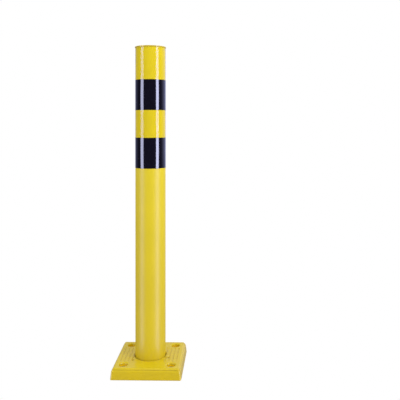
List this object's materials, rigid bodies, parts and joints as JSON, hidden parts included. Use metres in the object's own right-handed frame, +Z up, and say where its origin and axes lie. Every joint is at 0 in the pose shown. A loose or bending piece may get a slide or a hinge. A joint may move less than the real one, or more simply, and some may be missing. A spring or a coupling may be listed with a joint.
{
  "type": "safety bollard",
  "caption": "Yellow steel post with black bands, sprung upright in a square moulded floor foot with corner anchor holes.",
  "frame": {"origin": "centre of the foot's underside, on the floor", "axes": "+Z up along the post's axis; the foot's sides lie along X and Y, and its grooves run along Y"},
  "size_m": [0.2, 0.2, 0.945],
  "materials": {
    "post_paint": "semi-gloss yellow powder coat",
    "foot_moulding": "satin yellow moulding",
    "cap_plastic": "semi-gloss yellow plastic",
    "yellow_film": "glossy yellow film",
    "black_film": "glossy black film",
    "black_rubber": "matt black rubber",
    "elastomer": "matt dark grey elastomer",
    "plated_steel": "zinc plated",
    "bare_steel": "turned and hardened steel",
    "yellow_rubber": "matt yellow rubber",
    "screw_coating": "yellow coated steel"
  },
  "bodies": {
    "foot": {"base_plate": "plated_steel", "base_housing": "foot_moulding", "anchor_sleeves": "plated_steel", "spacer_sleeves": "plated_steel", "lower_pivot_seat": "bare_steel", "lower_buffer": "elastomer", "upper_buffer": "elastomer", "retaining_ring": "plated_steel", "cover_gasket": "black_rubber", "base_cover": "foot_moulding", "cover_screws": "screw_coating", "collar_ring": "yellow_rubber"},
    "ball": {"pivot_ball": "bare_steel"},
    "post": {"upper_pivot_seat": "bare_steel", "foot_disc": "plated_steel", "post_tube": "post_paint", "top_cap": "cap_plastic", "yellow_film": "yellow_film", "band_upper": "black_film", "band_lower": "black_film"}
  },
  "joints": [
    {"name": "lean_side", "type": "hinge", "parent": "foot", "child": "ball", "pos_m": [0, 0, 0.0135], "axis": [0, 1, 0], "range_deg": [-4, 4], "stiffness_Nm_per_rad": 4500, "deforming": ["lower_buffer", "upper_buffer"]},
    {"name": "lean_front", "type": "hinge", "parent": "ball", "child": "post", "pos_m": [0, 0, 0.0135], "axis": [1, 0, 0], "range_deg": [-4, 4], "stiffness_Nm_per_rad": 4500}
  ]
}
